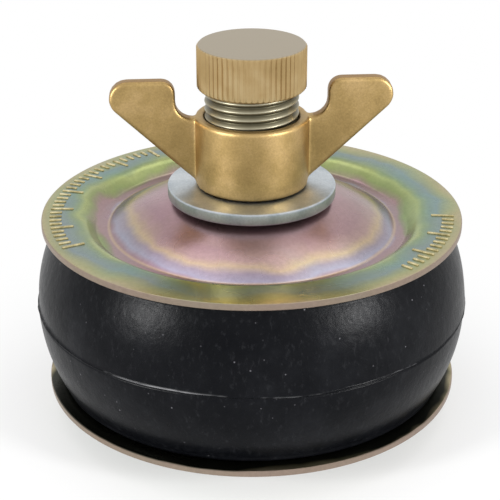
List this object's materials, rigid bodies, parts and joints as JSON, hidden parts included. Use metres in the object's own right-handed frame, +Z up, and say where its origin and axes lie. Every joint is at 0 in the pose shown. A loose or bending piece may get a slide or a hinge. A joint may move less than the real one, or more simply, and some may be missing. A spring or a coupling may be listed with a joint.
{
  "type": "drain test cap",
  "caption": "Expanding drain test plug: steel plates squeeze a rubber ring as the brass wing nut is turned, and a fluted cap closes the hollow threaded outlet.",
  "frame": {"origin": "on the spindle's axis, at the underside of its foot", "axes": "+Z up along the spindle towards the cap, +X along the wing nut's right wing before its small turn"},
  "size_m": [0.0994, 0.0994, 0.0873],
  "materials": {
    "passivated_steel": "yellow zinc passivate, with faint rainbow tints",
    "zinc_steel": "satin zinc plate",
    "weld_steel": "rippled weld under zinc plate",
    "black_rubber": "moulded black rubber, dusty",
    "grey_rubber": "cut sheet rubber",
    "stamped_brass": "hot-stamped and tumbled brass, satin",
    "turned_brass": "turned top and straight knurled side"
  },
  "bodies": {
    "body": {"lower_plate": "passivated_steel", "spindle": "zinc_steel", "foot_weld": "weld_steel", "rubber_ring": "black_rubber"},
    "clamp": {"top_plate": "passivated_steel", "clamp_washer": "zinc_steel"},
    "nut": {"wing_nut": "stamped_brass"},
    "cap_lift": {"cap_seal": "grey_rubber"},
    "cap": {"sealing_cap": "turned_brass"}
  },
  "joints": [
    {"name": "plate_press", "type": "slide", "parent": "body", "child": "clamp", "axis": [0, 0, -1], "range_m": [0, 0.01], "deforming": ["rubber_ring"]},
    {"name": "wing_nut_turn", "type": "hinge", "parent": "clamp", "child": "nut", "pos_m": [0, 0, 0.0631], "axis": [0, 0, -1], "range_deg": [0, 1984]},
    {"name": "cap_rise", "type": "slide", "parent": "body", "child": "cap_lift", "axis": [0, 0, 1], "range_m": [0, 0.0057]},
    {"name": "cap_turn", "type": "hinge", "parent": "cap_lift", "child": "cap", "pos_m": [0, 0, 0.0822], "axis": [0, 0, 1], "range_deg": [0, 1131]}
  ],
  "couplings": [
    {"joint": "plate_press", "follows": "wing_nut_turn", "m_per_rad": 0.00028875},
    {"joint": "cap_rise", "follows": "cap_turn", "m_per_rad": 0.00028875}
  ]
}
